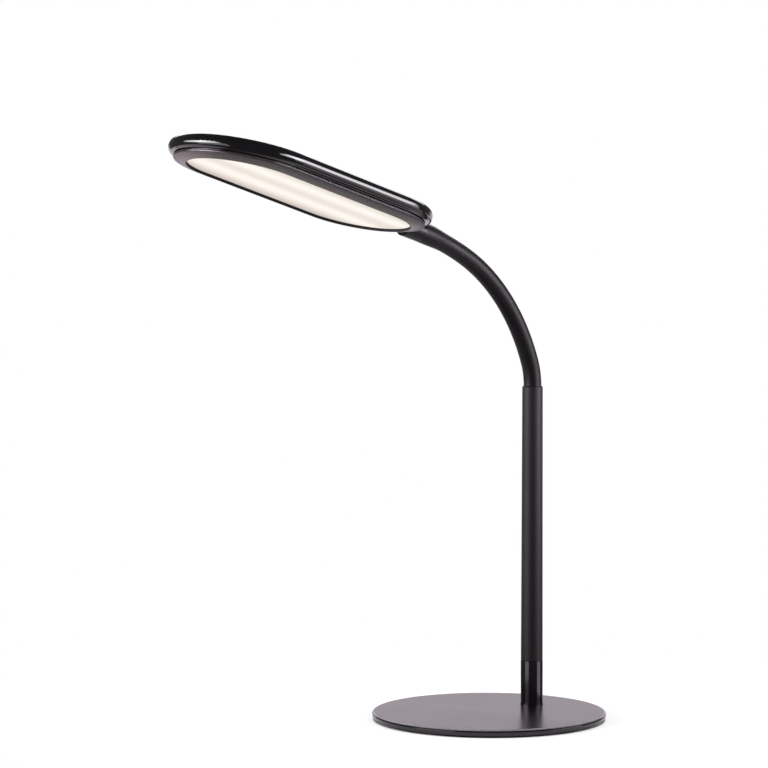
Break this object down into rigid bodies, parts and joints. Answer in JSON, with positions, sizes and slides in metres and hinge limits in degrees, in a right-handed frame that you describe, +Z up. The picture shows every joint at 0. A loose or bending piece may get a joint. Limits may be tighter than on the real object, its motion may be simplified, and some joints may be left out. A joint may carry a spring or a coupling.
{
  "type": "led table lamp",
  "caption": "Desk lamp with a thin round base, an upright tube post with a touch collar, a bending gooseneck and a flat long head with rounded ends and a lit diffuser below",
  "frame": {"origin": "centre of the round base, on the underside of its pad", "axes": "+Z up, -Y to the front, where the head reaches, +X to the right of a person who faces the front of the lamp"},
  "size_m": [0.18, 0.3964, 0.4457],
  "materials": {
    "base_paint": "satin black powder coat on a steel disc",
    "pad_foam": "matt black foam rubber sheet",
    "soft_rubber": "soft black rubber",
    "steel": "zinc plated steel",
    "black_steel": "black oxide steel",
    "ring_plastic": "polished black plastic",
    "liner_plastic": "natural nylon",
    "collar_lacquer": "gloss black lacquer on aluminium tube",
    "board_laminate": "green glass-fibre laminate",
    "component_plastic": "black moulded components",
    "contact_brass": "bright brass",
    "post_paint": "satin black powder coat on steel tube",
    "neck_rubber": "smooth satin black silicone rubber",
    "core_steel": "oiled spring steel",
    "lead_sheath": "white flexible sheath",
    "cover_gloss": "piano black moulding",
    "bezel_satin": "satin black moulding with a fine spark texture",
    "opal_plastic": "opal diffusing acrylic, lit warm white",
    "spreader_aluminium": "plain rolled sheet",
    "board_white": "white solder mask on aluminium",
    "led_lens": "phosphor filled clear resin",
    "connector_plastic": "natural nylon",
    "socket_gloss": "gloss black glass-filled nylon"
  },
  "bodies": {
    "stand": {"base_plate": "base_paint", "base_pad": "pad_foam", "cord_grommet": "soft_rubber", "base_washer": "steel", "base_nut": "steel", "threaded_nipple": "steel", "spigot_plug": "steel", "foot_ring": "ring_plastic", "post_spigot": "steel", "collar_liner": "liner_plastic", "touch_collar": "collar_lacquer", "touch_board": "board_laminate", "dimmer_components": "component_plastic", "touch_contact": "contact_brass", "post_tube": "post_paint", "neck_ferrule": "steel", "post_set_screw": "black_steel", "neck_sleeve_01": "neck_rubber", "neck_core_01": "core_steel", "neck_lead_01": "lead_sheath"},
    "neck_link_02": {"neck_sleeve_02": "neck_rubber", "neck_core_02": "core_steel", "neck_lead_02": "lead_sheath"},
    "neck_link_03": {"neck_sleeve_03": "neck_rubber", "neck_core_03": "core_steel", "neck_lead_03": "lead_sheath"},
    "neck_link_04": {"neck_sleeve_04": "neck_rubber", "neck_core_04": "core_steel", "neck_lead_04": "lead_sheath"},
    "neck_link_05": {"neck_sleeve_05": "neck_rubber", "neck_core_05": "core_steel", "neck_lead_05": "lead_sheath"},
    "neck_link_06": {"neck_sleeve_06": "neck_rubber", "neck_core_06": "core_steel", "neck_lead_06": "lead_sheath"},
    "neck_link_07": {"neck_sleeve_07": "neck_rubber", "neck_core_07": "core_steel", "neck_lead_07": "lead_sheath"},
    "neck_link_08": {"neck_sleeve_08": "neck_rubber", "neck_core_08": "core_steel", "neck_lead_08": "lead_sheath"},
    "neck_link_09": {"neck_sleeve_09": "neck_rubber", "neck_core_09": "core_steel", "neck_lead_09": "lead_sheath"},
    "head": {"head_cover": "cover_gloss", "head_bezel": "bezel_satin", "diffuser": "opal_plastic", "heat_spreader": "spreader_aluminium", "led_board": "board_white", "leds": "led_lens", "board_screws": "steel", "led_connector": "connector_plastic", "neck_socket": "socket_gloss", "socket_screws": "steel", "socket_set_screw": "black_steel", "neck_sleeve_10": "neck_rubber", "neck_core_10": "core_steel", "neck_lead_10": "lead_sheath"}
  },
  "joints": [
    {"name": "lower_bend", "type": "hinge", "parent": "stand", "child": "neck_link_02", "pos_m": [0, 0.04768, 0.2665], "axis": [1, 0, 0.0001], "range_deg": [-12, 12]},
    {"name": "side_bend", "type": "hinge", "parent": "neck_link_02", "child": "neck_link_03", "pos_m": [0, 0.04078, 0.28484], "axis": [0, 0.9039, 0.4278], "range_deg": [-12, 12]},
    {"name": "lower_bend_second", "type": "hinge", "parent": "neck_link_03", "child": "neck_link_04", "pos_m": [0, 0.03128, 0.30201], "axis": [1, 0, 0.0001], "range_deg": [-12, 12]},
    {"name": "lower_bend_third", "type": "hinge", "parent": "neck_link_04", "child": "neck_link_05", "pos_m": [0, 0.01969, 0.31785], "axis": [1, 0, 0.0001], "range_deg": [-12, 12]},
    {"name": "side_bend_second", "type": "hinge", "parent": "neck_link_05", "child": "neck_link_06", "pos_m": [0, 0.0062, 0.3321], "axis": [0, 0.6812, 0.7321], "range_deg": [-12, 12]},
    {"name": "upper_bend", "type": "hinge", "parent": "neck_link_06", "child": "neck_link_07", "pos_m": [0, -0.00898, 0.34453], "axis": [1, 0, 0.0001], "range_deg": [-12, 12]},
    {"name": "upper_bend_second", "type": "hinge", "parent": "neck_link_07", "child": "neck_link_08", "pos_m": [0, -0.02561, 0.35495], "axis": [1, 0, 0.0001], "range_deg": [-12, 12]},
    {"name": "side_bend_third", "type": "hinge", "parent": "neck_link_08", "child": "neck_link_09", "pos_m": [0, -0.04328, 0.3635], "axis": [0, 0.4003, 0.9164], "range_deg": [-12, 12]},
    {"name": "upper_bend_third", "type": "hinge", "parent": "neck_link_09", "child": "head", "pos_m": [0, -0.06155, 0.37066], "axis": [1, 0, 0.0001], "range_deg": [-12, 12]}
  ],
  "couplings": [
    {"joint": "lower_bend_second", "follows": "lower_bend", "ratio": 1},
    {"joint": "lower_bend_third", "follows": "lower_bend", "ratio": 1},
    {"joint": "side_bend_second", "follows": "side_bend", "ratio": 1},
    {"joint": "side_bend_third", "follows": "side_bend", "ratio": 1},
    {"joint": "upper_bend_second", "follows": "upper_bend", "ratio": 1},
    {"joint": "upper_bend_third", "follows": "upper_bend", "ratio": 1}
  ]
}
